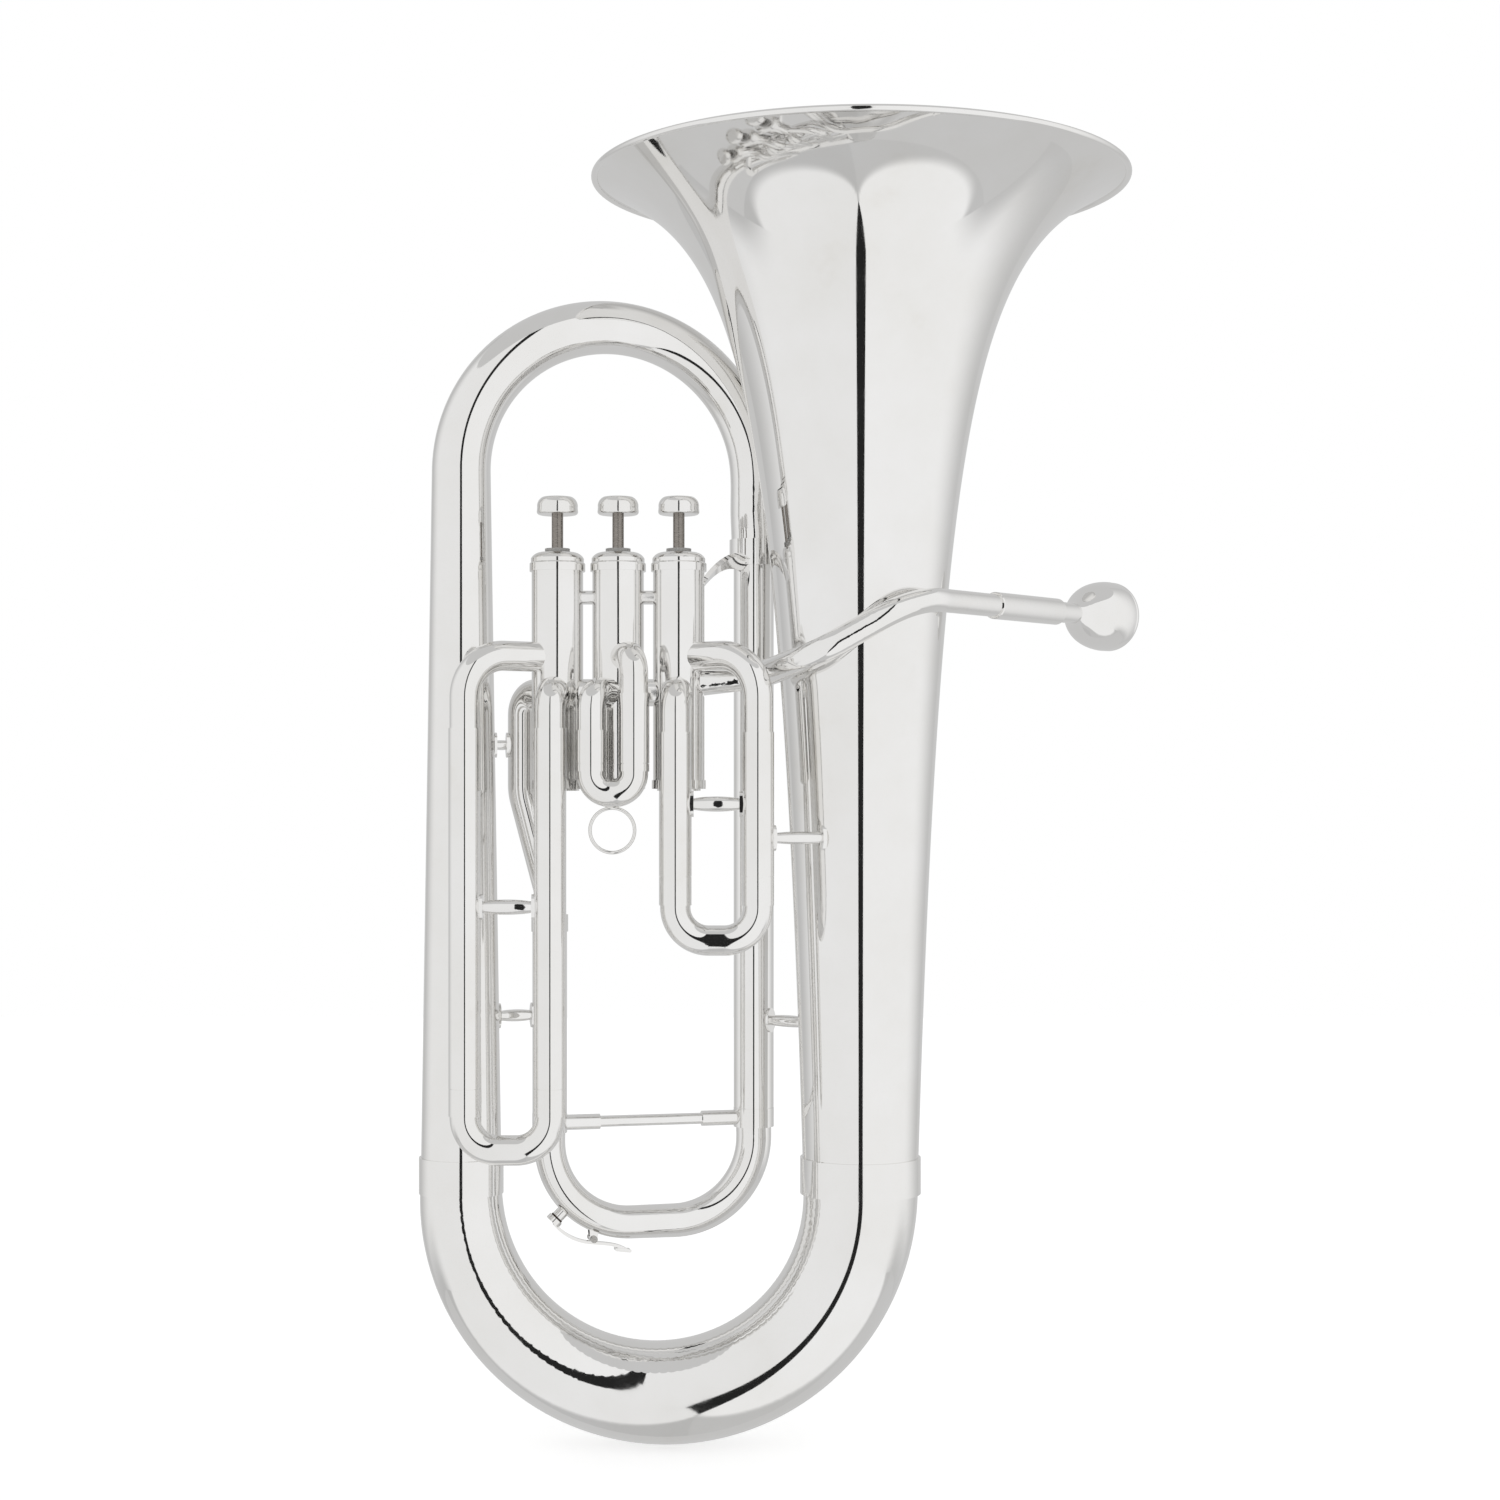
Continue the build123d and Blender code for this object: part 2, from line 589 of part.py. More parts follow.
KEY_ANGLE = 225.0         # where the water key sits round the bend
KEY_HOLE_R = 1.6
KEY_HOLE_END = TUNING_BEND_R + 16.0
bend_centre = (TUNING_BEND_R, TUNING_LOW_Z + TUNING_BEND_R)


def around_bend(distance, angle):
    """Point at a distance and an angle from the centre of the left bend."""
    turn = math.radians(angle)
    return tuning_point(
        bend_centre[0] + distance * math.cos(turn), bend_centre[1] + distance * math.sin(turn)
    )


key_hole = (around_bend(TUNING_BEND_R, KEY_ANGLE), around_bend(KEY_HOLE_END, KEY_ANGLE))

with BuildPart() as filled_tuning_bow:
    horn(tuning_path, tuple(TUNING_NORMAL), tuning_bow_radius, 0, TUNING_STATIONS)

with BuildPart() as tuning_bow:
    horn(tuning_path, tuple(TUNING_NORMAL), tuning_bow_radius, TUBE_WALL, TUNING_STATIONS)
    rod(*key_hole, KEY_HOLE_R, Mode.SUBTRACT)
finish(tuning_bow, "tuning_bow")

with BuildPart() as tuning_legs:
    for place, tube_r, _ in tuning_sides:
        leg_r = tube_r - BIG_TUBE_WALL - SLIDE_GAP
        ring(*place, TUNING_JOINT_Z, TUNING_LEG_TOP_Z, leg_r, leg_r - TUBE_WALL)
finish(tuning_legs, "tuning_legs")

with BuildPart() as tuning_ferrules:
    for place, tube_r, bow_r in tuning_sides:
        leg_r = tube_r - BIG_TUBE_WALL - SLIDE_GAP
        ring(*place, TUNING_JOINT_Z, TUNING_FOOT_Z - FACE_GAP, tube_r + FERRULE_STEP, leg_r)
        ring(*place, FERRULE_FOOT_Z, TUNING_JOINT_Z, tube_r + FERRULE_STEP, bow_r - 0.2)
    add(tuning_bow.part, mode=Mode.SUBTRACT)
finish(tuning_ferrules, "tuning_ferrules")

BAR_Z = 167.0
BAR_R = 3.0
BAR_SOCKET_R = 4.1
BAR_SOCKETS = (27.0, 29.0)
right_end = tuning_span.length
with BuildPart() as tuning_crossbar:
    rod(tuning_point(0, BAR_Z), tuning_point(right_end, BAR_Z), BAR_R)
    rod(tuning_point(0, BAR_Z), tuning_point(BAR_SOCKETS[0], BAR_Z), BAR_SOCKET_R)
    rod(tuning_point(right_end - BAR_SOCKETS[1], BAR_Z), tuning_point(right_end, BAR_Z), BAR_SOCKET_R)
    fit_round(*TUNING_LEFT, BAR_Z, TUNING_TUBE_R + FERRULE_STEP)
    fit_round(*TUNING_RIGHT, BAR_Z, INNER_R + FERRULE_STEP)
finish(tuning_crossbar, "tuning_crossbar")

# ---- Water key on the tuning slide's left bend --------------------------------------

NIPPLE_TIP = TUNING_BEND_R + 12.3
CORK_END = TUNING_BEND_R + 15.0
CUP_END = TUNING_BEND_R + 16.2
KEY_PIVOT = (23.3, 104.6)
KEY_TOUCH = (42.0, 97.4)
KEY_PIN_R = 1.0
LEVER_WIDTH = 3.8
POST_GAP = 2.2            # from the middle of the lever to a post
POST_T = 1.1
LEVER_LINE = [(2.2, 113.4), (8.6, 107.4), (17.9, 103.2), (26.7, 101.9), KEY_TOUCH]

with BuildPart() as water_key_cork:
    rod(around_bend(NIPPLE_TIP + 0.02, KEY_ANGLE), around_bend(CORK_END, KEY_ANGLE), 3.5)
finish(water_key_cork, "water_key_cork")

key_plane = Plane(Vector(*TUNING_LEFT, 0), x_dir=TUNING_ALONG, z_dir=TUNING_ALONG.cross(Vector(0, 0, 1)))


with BuildPart() as water_key_lever:
    rod(around_bend(NIPPLE_TIP + 1.0, KEY_ANGLE), around_bend(CUP_END, KEY_ANGLE), 4.3)
    with BuildSketch(key_plane.offset(-LEVER_WIDTH / 2)):
        with BuildLine():
            under = Spline(*[(along - 0.4, z - 0.7) for along, z in LEVER_LINE])
            over = Spline(*[(along + 0.4, z + 0.7) for along, z in LEVER_LINE])
            Line(under @ 0, over @ 0)
            Line(under @ 1, over @ 1)
        make_face()
    extrude(amount=LEVER_WIDTH)
    with BuildSketch(key_plane.offset(-LEVER_WIDTH / 2)):
        with Locations(KEY_PIVOT):
            Circle(2.0)
    extrude(amount=LEVER_WIDTH)
    with BuildSketch(key_plane.offset(-2.6)):
        with Locations((KEY_TOUCH[0] - 2.5, KEY_TOUCH[1] + 0.4)):
            SlotOverall(9.0, 1.8, rotation=-8)
    extrude(amount=5.2)
    with BuildSketch(key_plane.offset(-5)):
        with Locations(KEY_PIVOT):
            Circle(KEY_PIN_R + 0.05)
    extrude(amount=10, mode=Mode.SUBTRACT)
    add(water_key_cork.part, mode=Mode.SUBTRACT)
finish(water_key_lever, "water_key_lever")

# The nipple that the cork closes, and the two posts that carry the lever.
with BuildPart() as water_key_mounts:
    rod(around_bend(TUNING_BEND_R, KEY_ANGLE), around_bend(NIPPLE_TIP, KEY_ANGLE), 3.3)
    add(filled_tuning_bow.part, mode=Mode.SUBTRACT)
    rod(*key_hole, KEY_HOLE_R, Mode.SUBTRACT)
    for side in (-POST_GAP - POST_T, POST_GAP):
        with BuildSketch(key_plane.offset(side)):
            with BuildLine():
                Polyline(
                    (KEY_PIVOT[0] - 1.9, KEY_PIVOT[1]), (KEY_PIVOT[0] - 2.6, KEY_PIVOT[1] + 9),
                    (KEY_PIVOT[0] + 3.4, KEY_PIVOT[1] + 9), (KEY_PIVOT[0] + 1.9, KEY_PIVOT[1]),
                )
                ThreePointArc(
                    (KEY_PIVOT[0] + 1.9, KEY_PIVOT[1]), (KEY_PIVOT[0], KEY_PIVOT[1] - 1.9),
                    (KEY_PIVOT[0] - 1.9, KEY_PIVOT[1]),
                )
            make_face()
        extrude(amount=POST_T)
    add(filled_tuning_bow.part, mode=Mode.SUBTRACT)
    with BuildSketch(key_plane.offset(-5)):
        with Locations(KEY_PIVOT):
            Circle(KEY_PIN_R)
    extrude(amount=10, mode=Mode.SUBTRACT)
finish(water_key_mounts, "water_key_mounts")

with BuildPart() as water_key_pivot:
    with BuildSketch(key_plane.offset(-6.8)):
        with Locations(KEY_PIVOT):
            Circle(KEY_PIN_R)
    extrude(amount=10.2)
    with BuildSketch(key_plane.offset(3.35)):
        with Locations(KEY_PIVOT):
            Circle(1.9)
    extrude(amount=1.2)
finish(water_key_pivot, "water_key_pivot_screw")

with BuildPart() as water_key_spring:
    with BuildLine():
        coil = Helix(
            pitch=0.8, height=2.4, radius=1.8, center=key_plane.offset(-3.8).from_local_coords(KEY_PIVOT),
            direction=-key_plane.z_dir,
        )
    with BuildSketch(Plane(origin=coil @ 0, z_dir=coil % 0)):
        Circle(0.3)
    sweep()
finish(water_key_spring, "water_key_spring")

# ---- Leadpipe, receiver and mouthpiece ----------------------------------------------

pipe_turn = math.radians(PIPE_ANGLE)
RECEIVER_AXIS = Vector(math.cos(pipe_turn), math.sin(pipe_turn), 0)


def on_receiver(distance):
    """Point on the receiver's axis, measured from the leadpipe's last turn."""
    return Vector(*LEADPIPE_TURN) + RECEIVER_AXIS * distance


LEADPIPE_INNER_TURN = (52.3, -14.3, 404.0)
LEADPIPE_BELL_TURN = (79.6, -52.0, 412.5)
leadpipe_path = FilletPolyline(
    (VALVE_1_X, VALVE_Y, LEADPIPE_PORT_Z),
    LEADPIPE_INNER_TURN,
    LEADPIPE_BELL_TURN,
    LEADPIPE_TURN,
    on_receiver(RECEIVER_START + 20),
    radius=[22.0, 30.0, 35.0],
).wire()


def leadpipe_radius(share):
    """The leadpipe is straight at the valve, then narrows towards the receiver."""
    taper = min(1.0, max(0.0, share - 0.35) / 0.4)
    return LEADPIPE_VALVE_R + (LEADPIPE_END_R - LEADPIPE_VALVE_R) * taper


with BuildPart() as leadpipe:
    horn(leadpipe_path, (0, 0, 1), leadpipe_radius, TUBE_WALL, LEADPIPE_STATIONS)
    fit_round(VALVE_1_X, VALVE_Y, LEADPIPE_PORT_Z, CASING_R)
finish(leadpipe, "leadpipe")

RECEIVER_R = 7.1
SHANK_R = 5.6
receiver_end = RECEIVER_START + RECEIVER_LENGTH

with BuildPart() as receiver:
    rod(on_receiver(RECEIVER_START), on_receiver(receiver_end), RECEIVER_R)
    chamfer(receiver.edges().filter_by(GeomType.CIRCLE), 0.5)
    add(leadpipe.part, mode=Mode.SUBTRACT)
    rod(on_receiver(RECEIVER_START), on_receiver(receiver_end), SHANK_R + SLIDE_GAP, Mode.SUBTRACT)
finish(receiver, "receiver")

# The mouthpiece's section: x is the radius and y the distance out of the receiver.
CUP_R = 12.8
THROAT_R = 3.3
mouthpiece_seat = on_receiver(receiver_end)
mouthpiece_plane = Plane(mouthpiece_seat, x_dir=(0, 0, 1), z_dir=Vector(0, 0, 1).cross(RECEIVER_AXIS))

with BuildPart() as mouthpiece:
    with BuildSketch(mouthpiece_plane):
        with BuildLine():
            Polyline((4.6, -25), (SHANK_R, -25), (SHANK_R, 17))
            Spline(
                (SHANK_R, 17), (7.8, 21), (13.8, 28), (17.8, 37), (19.1, 46), (18.9, 51),
                tangents=[(0.3, 1), (-0.1, 1)],
            )
            ThreePointArc((18.9, 51), (18.1, 54.2), (15.8, MOUTHPIECE_OUT))
            ThreePointArc((15.8, MOUTHPIECE_OUT), (13.6, 54.4), (CUP_R, 52.4))
            Spline(
                (CUP_R, 52.4), (12.2, 44), (8.2, 34), (THROAT_R, 28), tangents=[(-0.05, -1), (-0.5, -1)]
            )
            Polyline((THROAT_R, 28), (THROAT_R, 20), (4.6, -25))
        make_face()
    revolve(axis=Axis(mouthpiece_seat, RECEIVER_AXIS))
finish(mouthpiece, "mouthpiece")

# ---- Braces -------------------------------------------------------------------------


FLANGE_HALF = 1.0
FLANGE_TALL = 6.6
FLANGE_WIDE = 3.8


def brace(start, end, start_r, end_r, waist, middle):
    """Add a turned spindle with an oval flange at each tube.

    The start and end are on the tubes' axes, and start_r and end_r are the tubes' radii. The
    spindle's radius is the waist at its ends and the middle half-way.
    """
    start, end = Vector(*start), Vector(*end)
    along = (end - start).normalized()
    length = (end - start).length
    upright = Vector(0, 0, 1)
    plane = Plane(start, x_dir=along, z_dir=along.cross(upright))
    low, high = start_r - FLANGE_HALF, length - end_r + FLANGE_HALF
    with BuildSketch(plane) as half:
        with BuildLine():
            Line((low, 0), (low, waist))
            ThreePointArc((low, waist), ((low + high) / 2, middle), (high, waist))
            Polyline((high, waist), (high, 0), (low, 0))
        make_face()
    revolve(half.sketch, axis=Axis(start, along))
    for near, far in ((low, start_r + FLANGE_HALF), (high, length - end_r - FLANGE_HALF)):
        with BuildSketch(Plane(start + along * near, x_dir=upright, z_dir=along * (far - near))) as flange:
            Ellipse(FLANGE_TALL, FLANGE_WIDE)
        extrude(flange.sketch, amount=abs(far - near))


def branch_radius(z):
    """Outer radius of the left branch at a height."""
    share = (z - BOW_JOINT_Z) / (BRANCH_TOP_Z - BOW_JOINT_Z)
    return BOW_LEFT_R + (BRANCH_TOP_R - BOW_LEFT_R) * share


OUTLET_BRACE_Z = 368.0
TUNING_BRACE_Z = 224.7
with BuildPart() as branch_braces:
    brace((-BELL_X, 0, OUTLET_BRACE_Z), (*OUTLET_XY, OUTLET_BRACE_Z),
          branch_radius(OUTLET_BRACE_Z), TUBE_R, 2.2, 2.6)
    brace((-BELL_X, 0, TUNING_BRACE_Z), (*TUNING_LEFT, TUNING_BRACE_Z),
          branch_radius(TUNING_BRACE_Z), TUNING_TUBE_R, 2.2, 3.2)
    add(filled_horn.part, mode=Mode.SUBTRACT)
    fit_round(*OUTLET_XY, OUTLET_BRACE_Z, TUBE_R)
    fit_round(*TUNING_LEFT, TUNING_BRACE_Z, TUNING_TUBE_R)
finish(branch_braces, "branch_braces")

SLEEVE_OUTER_R = TUBE_R + SLIDE_GAP + SLEEVE_WALL
SLIDE_1_BRACE_Z = 336.9
SLIDE_3_BRACE_Z = 284.2
with BuildPart() as slide_braces:
    for number, height in ((1, SLIDE_1_BRACE_Z), (3, SLIDE_3_BRACE_Z)):
        legs_x = sorted((SLIDES[number]["crook_x"], SLIDES[number]["knuckle_x"]))
        ends = [(x, SLIDE_Y, height) for x in legs_x]
        brace(*ends, SLEEVE_OUTER_R, SLEEVE_OUTER_R, 2.6, 3.9)
        for x in legs_x:
            fit_round(x, SLIDE_Y, height, SLEEVE_OUTER_R)
finish(slide_braces, "slide_braces")

SLIDE_BELL_BRACE_Z = 319.5
INNER_BELL_BRACE_Z = 220.0
BELL_BRACE_XY = (101.0, -25.0)       # where the axis of the brace from slide 1 meets the bell
BELL_BRACE_REACH = 17.0
GUSSET_FOOT = (78.2, -39.4, 409.0)
GUSSET_ALONG = (0.6, 0.8, 0)
GUSSET_SIDE = (0.8, -0.6, 0)
GUSSET_LENGTH = 20.0
GUSSET_T = 1.6
GUSSET_HEIGHT = 9.0

# A plate between the leadpipe and the bell, with its upper corner cut off.
with BuildPart() as gusset:
    with BuildSketch(Plane(GUSSET_FOOT, x_dir=GUSSET_ALONG, z_dir=(0, 0, 1))):
        Rectangle(GUSSET_LENGTH, GUSSET_T)
    extrude(amount=GUSSET_HEIGHT)
    with BuildSketch(Plane(GUSSET_FOOT, x_dir=GUSSET_ALONG, z_dir=GUSSET_SIDE)):
        with BuildLine():
            Polyline((-14, 0), (-14, 14), (4, 14), (-14, 0))
        make_face()
    extrude(amount=4.0, both=True, mode=Mode.SUBTRACT)
    add(filled_horn.part, mode=Mode.SUBTRACT)
    horn(leadpipe_path, (0, 0, 1), leadpipe_radius, 0, LEADPIPE_STATIONS, Mode.SUBTRACT)

with BuildPart() as bell_braces:
    brace((SLIDES[1]["crook_x"], SLIDE_Y, SLIDE_BELL_BRACE_Z), (*BELL_BRACE_XY, SLIDE_BELL_BRACE_Z),
          SLEEVE_OUTER_R, BELL_BRACE_REACH, 2.4, 3.3)
    brace((INNER_X, INNER_Y, INNER_BELL_BRACE_Z), (BELL_X, 0, INNER_BELL_BRACE_Z),
          INNER_R, bell_radius(INNER_BELL_BRACE_Z), 2.4, 3.2)
    add(filled_horn.part, mode=Mode.SUBTRACT)
    fit_round(SLIDES[1]["crook_x"], SLIDE_Y, SLIDE_BELL_BRACE_Z, SLEEVE_OUTER_R)
    fit_round(INNER_X, INNER_Y, INNER_BELL_BRACE_Z, INNER_R)
    add(gusset.part)
finish(bell_braces, "bell_braces")

POST_Z = 444.7
POST_R = 3.6
STRAP_START = (VALVE_1_X + 11, VALVE_Y, 450.0)
STRAP_MIDDLE = (33.0, 6.0, 464.0)
STRAP_END = (INNER_X - 5, INNER_Y - 10, 466.0)
STRAP_WIDTH = 9.0
STRAP_T = 2.4

with BuildLine() as strap_route:
    ThreePointArc(STRAP_START, STRAP_MIDDLE, STRAP_END)

# Posts between the casings, and a strap from the first casing to the inner branch.
with BuildPart() as casing_braces:
    with BuildSketch(Plane(strap_route.line @ 0, x_dir=(0, 1, 0), z_dir=strap_route.line % 0)):
        Rectangle(STRAP_WIDTH, STRAP_T)
    sweep(path=strap_route.line)
    fit_round(INNER_X, INNER_Y, STRAP_START[2], INNER_R)
    fit_round(INNER_X, INNER_Y, TOP_BOW_FOOT_Z - TOP_FERRULE_HALF + TRIM_REACH, TOP_FERRULE_R)
    for x in VALVE_X[1:]:
        rod((x, VALVE_Y, POST_Z), (x + VALVE_PITCH, VALVE_Y, POST_Z), POST_R)
    for x in VALVE_X:
        fit_round(x, VALVE_Y, POST_Z, CASING_R)
finish(casing_braces, "casing_braces")
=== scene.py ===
import math

import bpy
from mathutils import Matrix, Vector


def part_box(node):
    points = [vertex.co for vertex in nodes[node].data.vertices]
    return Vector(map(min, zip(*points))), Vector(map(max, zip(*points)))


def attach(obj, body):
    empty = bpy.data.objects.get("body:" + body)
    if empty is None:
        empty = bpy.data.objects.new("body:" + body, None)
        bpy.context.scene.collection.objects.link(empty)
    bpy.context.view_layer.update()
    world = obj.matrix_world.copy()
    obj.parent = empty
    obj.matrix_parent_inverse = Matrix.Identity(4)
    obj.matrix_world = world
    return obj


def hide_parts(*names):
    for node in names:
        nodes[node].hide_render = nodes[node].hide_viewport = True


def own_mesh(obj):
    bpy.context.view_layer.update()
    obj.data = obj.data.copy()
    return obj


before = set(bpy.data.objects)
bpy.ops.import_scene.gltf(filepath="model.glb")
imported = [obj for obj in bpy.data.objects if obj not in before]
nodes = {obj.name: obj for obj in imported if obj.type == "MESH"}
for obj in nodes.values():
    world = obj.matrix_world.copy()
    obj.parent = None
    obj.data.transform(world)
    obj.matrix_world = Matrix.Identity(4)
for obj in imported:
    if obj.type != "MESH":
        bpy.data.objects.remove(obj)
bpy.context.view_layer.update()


# ---- Node helpers -------------------------------------------------------------------


class Surface:
    """A material with one Principled shader, and short calls for the nodes that feed it."""

    def __init__(self, name, metallic, roughness):
        self.material = bpy.data.materials.new(name)
        self.material.use_nodes = True
        self.tree = self.material.node_tree
        self.shader = self.tree.nodes["Principled BSDF"]
        self.shader.inputs["Metallic"].default_value = metallic
        self.shader.inputs["Roughness"].default_value = roughness
        self.place = self.tree.nodes.new("ShaderNodeTexCoord").outputs["Object"]

    def node(self, kind, **settings):
        made = self.tree.nodes.new(kind)
        for name, value in settings.items():
            setattr(made, name, value)
        return made

    def link(self, output, target):
        self.tree.links.new(output, target)

    def stretched(self, scale):
        """Object coordinates multiplied by a scale along each axis."""
        mapping = self.node("ShaderNodeMapping")
        mapping.inputs["Scale"].default_value = scale
        self.link(self.place, mapping.inputs["Vector"])
        return mapping.outputs["Vector"]

    def noise(self, scale, detail=3.0, roughness=0.5, stretch=(1, 1, 1)):
        """Noise with features about 1 / scale metres across."""
        texture = self.node("ShaderNodeTexNoise")
        texture.inputs["Scale"].default_value = scale
        texture.inputs["Detail"].default_value = detail
        texture.inputs["Roughness"].default_value = roughness
        self.link(self.stretched(stretch), texture.inputs["Vector"])
        return texture.outputs["Fac"]

    def ranged(self, value, low, high, out_low, out_high):
        """The value mapped from one range to another, and clamped."""
        mapped = self.node("ShaderNodeMapRange")
        for name, number in zip(
            ("From Min", "From Max", "To Min", "To Max"), (low, high, out_low, out_high)
        ):
            mapped.inputs[name].default_value = number
        self.link(value, mapped.inputs["Value"])
        return mapped.outputs["Result"]

    def ramp(self, value, stops):
        """A colour ramp through (place, colour) stops."""
        ramp = self.node("ShaderNodeValToRGB")
        points = ramp.color_ramp.elements
        while len(points) < len(stops):
            points.new(0.5)
        for point, (place, colour) in zip(points, stops):
            point.position = place
            point.color = (*colour, 1.0)
        self.link(value, ramp.inputs["Fac"])
        return ramp.outputs["Color"]

    def colour(self, output):
        self.link(output, self.shader.inputs["Base Color"])

    def roughness(self, output):
        self.link(output, self.shader.inputs["Roughness"])

    def bump(self, height, distance, strength=1.0):
        """Raise the surface by the height times a distance in metres, on top of earlier bumps."""
        bump = self.node("ShaderNodeBump")
        bump.inputs["Distance"].default_value = distance
        bump.inputs["Strength"].default_value = strength
        self.link(height, bump.inputs["Height"])
        normal = self.shader.inputs["Normal"]
        if normal.is_linked:
            self.link(normal.links[0].from_socket, bump.inputs["Normal"])
        self.link(bump.outputs["Normal"], normal)


# ---- Materials ----------------------------------------------------------------------


SILVER_BRIGHT = (0.885, 0.880, 0.874)
SILVER_WARM = (0.845, 0.837, 0.820)
SILVER_TARNISH = (0.76, 0.735, 0.69)


def silver_plate(name, ripple, haze, buff=(1, 1, 6)):
    """Mirror-polished silver plate: faint tarnish, buffing lines, and the ripple of thin sheet."""
    made = Surface(name, 1.0, 0.05)
    tarnish = made.noise(16.0, 5.0, 0.6)
    tones = [(0.30, SILVER_BRIGHT), (0.62, SILVER_WARM), (0.90, SILVER_TARNISH)]
    made.colour(made.ramp(tarnish, tones))
    smear = made.noise(70.0, 6.0, 0.65)
    made.roughness(made.ranged(smear, 0.35, 0.75, haze * 0.5, haze * 1.6))
    made.bump(made.noise(26.0, 1.0, 0.4), ripple)
    made.bump(made.noise(900.0, 2.0, 0.5, buff), 0.0000012, 0.35)
    return made.material


def ground_steel(name, dark, light, grain):
    """Bare nickel steel with fine lines from grinding, along or round the piece."""
    made = Surface(name, 1.0, 0.25)
    lines = made.noise(420.0, 4.0, 0.6, grain)
    made.colour(made.ramp(lines, [(0.25, dark), (0.75, light)]))
    made.roughness(made.ranged(lines, 0.3, 0.7, 0.16, 0.34))
    made.bump(lines, 0.000006, 0.5)
    return made.material


def pressed_felt(name):
    """Pale grey wool felt: tangled fibres and a little lint."""
    made = Surface(name, 0.0, 0.95)
    fibres = made.noise(2600.0, 6.0, 0.75)
    made.colour(made.ramp(fibres, [(0.30, (0.30, 0.30, 0.29)), (0.72, (0.62, 0.61, 0.59))]))
    made.shader.inputs["Sheen Weight"].default_value = 0.45
    made.shader.inputs["Sheen Roughness"].default_value = 0.5
    made.bump(fibres, 0.00018, 0.9)
    return made.material


def dark_cork(name):
    """Waxed cork: grains in several browns, with small pits."""
    made = Surface(name, 0.0, 0.72)
    grains = made.node("ShaderNodeTexVoronoi")
    grains.inputs["Scale"].default_value = 1100.0
    made.link(made.place, grains.inputs["Vector"])
    brown = made.ramp(
        grains.outputs["Distance"],
        [(0.0, (0.085, 0.050, 0.028)), (0.45, (0.048, 0.028, 0.016)), (0.85, (0.018, 0.011, 0.007))],
    )
    made.colour(brown)
    made.bump(grains.outputs["Distance"], 0.00012, 0.7)
    return made.material


BELL_SILVER = silver_plate("silver_bell_sheet", 0.000012, 0.045, (1, 1, 3))
BRANCH_SILVER = silver_plate("silver_branch_sheet", 0.000010, 0.050, (1, 1, 8))
TUBE_SILVER = silver_plate("silver_drawn_tube", 0.000006, 0.045, (3, 3, 1))
FITTING_SILVER = silver_plate("silver_turned_fitting", 0.000005, 0.060, (1, 1, 10))
MOUTHPIECE_SILVER = silver_plate("silver_mouthpiece", 0.000003, 0.030, (2, 2, 2))
PISTON_STEEL = ground_steel("lapped_piston", (0.34, 0.34, 0.33), (0.56, 0.56, 0.55), (1, 1, 9))
STEM_STEEL = ground_steel("turned_stem", (0.17, 0.155, 0.14), (0.40, 0.37, 0.34), (1, 1, 12))
SPRING_STEEL = ground_steel("spring_wire", (0.30, 0.29, 0.27), (0.55, 0.54, 0.52), (4, 4, 4))
FELT = pressed_felt("cap_felt")
CORK = dark_cork("key_cork")

MATERIAL_OF = {
    "bell": BELL_SILVER,
    "bell_rim_wire": FITTING_SILVER,
    "mouthpiece": MOUTHPIECE_SILVER,
    "cap_felts": FELT,
    "water_key_cork": CORK,
    "water_key_pivot_screw": SPRING_STEEL,
}
MATERIAL_BY_START = {
    "bottom_bow": BRANCH_SILVER,
    "top_bow": BRANCH_SILVER,
    "left_branch": BRANCH_SILVER,
    "piston_": PISTON_STEEL,
    "valve_stem_": STEM_STEEL,
    "valve_spring_": SPRING_STEEL,
    "water_key_spring": SPRING_STEEL,
    "finger_button_": FITTING_SILVER,
    "inner_branch": TUBE_SILVER,
    "leadpipe": TUBE_SILVER,
    "slide_": TUBE_SILVER,
    "tuning_": TUBE_SILVER,
    "valve_outlet": TUBE_SILVER,
    "valve_links": TUBE_SILVER,
}


def material_for(name):
    """The finish of a CAD node, by its name."""
    if name in MATERIAL_OF:
        return MATERIAL_OF[name]
    if "ferrule" in name or "collar" in name:
        return FITTING_SILVER
    for start, material in MATERIAL_BY_START.items():
        if name.startswith(start):
            return material
    return FITTING_SILVER


for name, piece in nodes.items():
    piece.data.materials.clear()
    piece.data.materials.append(material_for(name))


# ---- Springs ------------------------------------------------------------------------

for index in (1, 2, 3):
    spring_low, spring_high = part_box(f"valve_spring_{index}")
    anchor = (spring_low + spring_high) / 2
    anchor.z = spring_low.z
    spring = nodes[f"valve_spring_{index}"]
    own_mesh(spring)


# ---- Bell ---------------------------------------------------------------------------

# The bell again as one fine surface of revolution, so that reflections run straight on it.
FLARE_FOCUS = 0.030
FLARE_POWER = 0.525
SHEET = 0.0008
BELL_RINGS = 220
BELL_SEGMENTS = 240
RING_CROWDING = 1.8       # how much closer together the rings are towards the rim
SHARP_ANGLE = math.radians(40)

bell_low, bell_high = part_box("bell")
bell_x = (bell_low[0] + bell_high[0]) / 2
bell_y = (bell_low[1] + bell_high[1]) / 2
bell_rim_radius = (bell_high[0] - bell_low[0]) / 2
bell_foot = bell_low[2]
rim_slope = FLARE_POWER * bell_rim_radius / FLARE_FOCUS
bell_rim = bell_high[2] - SHEET * rim_slope / math.hypot(1.0, rim_slope)


def bell_point(height, inset):
    """Radius and height of the flare, moved inwards along its normal."""
    left = bell_rim + FLARE_FOCUS - height
    radius = bell_rim_radius * (FLARE_FOCUS / left) ** FLARE_POWER
    slope = FLARE_POWER * radius / left
    length = math.hypot(1.0, slope)
    return (radius - inset / length, height + inset * slope / length)


